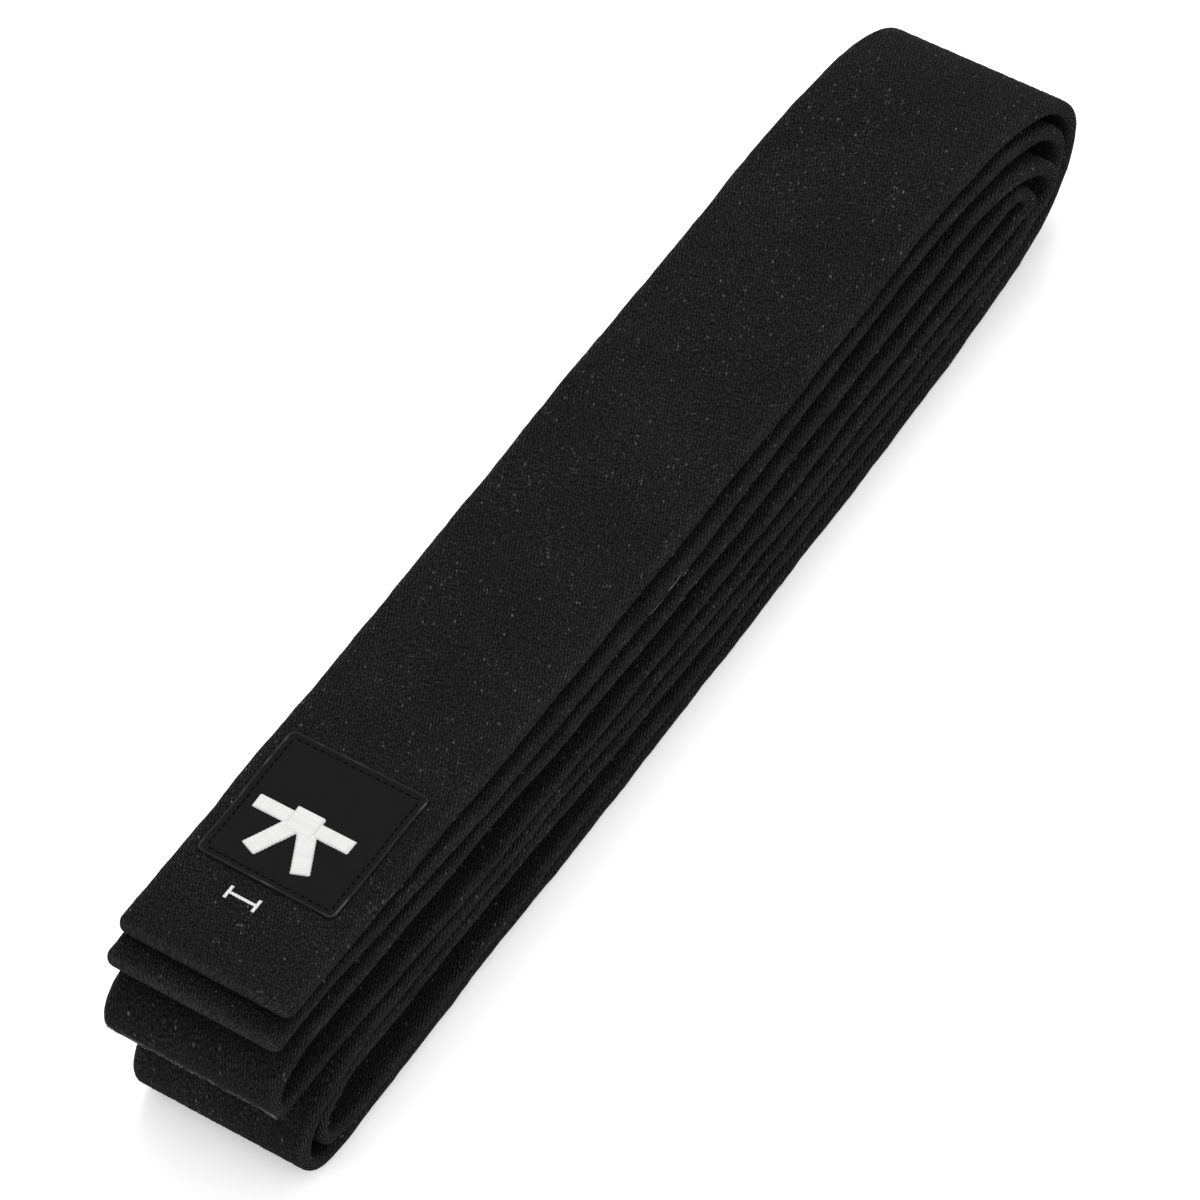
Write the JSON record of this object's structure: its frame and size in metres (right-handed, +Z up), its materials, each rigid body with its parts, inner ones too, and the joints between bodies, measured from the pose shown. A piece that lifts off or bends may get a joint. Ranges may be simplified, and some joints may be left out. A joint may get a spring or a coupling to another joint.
{
  "type": "martial arts belt",
  "caption": "Long flat stitched cotton belt for a martial arts uniform, folded in half three times into a bundle, with a woven label at one free end.",
  "frame": {"origin": "on the floor, in the middle of the folded bundle's bounding box", "axes": "+Y along the runs, from the free ends towards the back folds; +X across the strap to its right edge; +Z up through the pile of runs"},
  "size_m": [0.0586, 0.3651, 0.0611],
  "materials": {
    "cover_cloth": "matt cotton twill, black, with pale lint",
    "core_cloth": "unbleached coarse cotton",
    "row_thread": "spun polyester thread, black",
    "label_cloth": "close woven ribbon, black",
    "label_binding": "bound edge, dark grey",
    "label_thread": "sewing thread, black",
    "emblem_thread": "satin stitch embroidery, white",
    "mark_ink": "woven or printed mark, white"
  },
  "bodies": {
    "root": {"cover": "cover_cloth", "core_ply_upper": "core_cloth", "core_ply_middle": "core_cloth", "core_ply_lower": "core_cloth", "stitch_row_01": "row_thread", "stitch_row_02": "row_thread", "stitch_row_03": "row_thread", "stitch_row_04": "row_thread", "stitch_row_05": "row_thread", "stitch_row_06": "row_thread", "stitch_row_07": "row_thread", "stitch_row_08": "row_thread", "stitch_row_09": "row_thread", "stitch_row_10": "row_thread", "stitch_row_11": "row_thread", "stitch_row_12": "row_thread", "stitch_row_13": "row_thread", "stitch_row_14": "row_thread", "stitch_row_15": "row_thread", "stitch_row_16": "row_thread", "label_end_stitching": "row_thread", "plain_end_stitching": "row_thread", "label_patch": "label_cloth", "label_border": "label_binding", "label_stitching": "label_thread", "label_emblem": "emblem_thread", "size_mark": "mark_ink"}
  },
  "joints": []
}
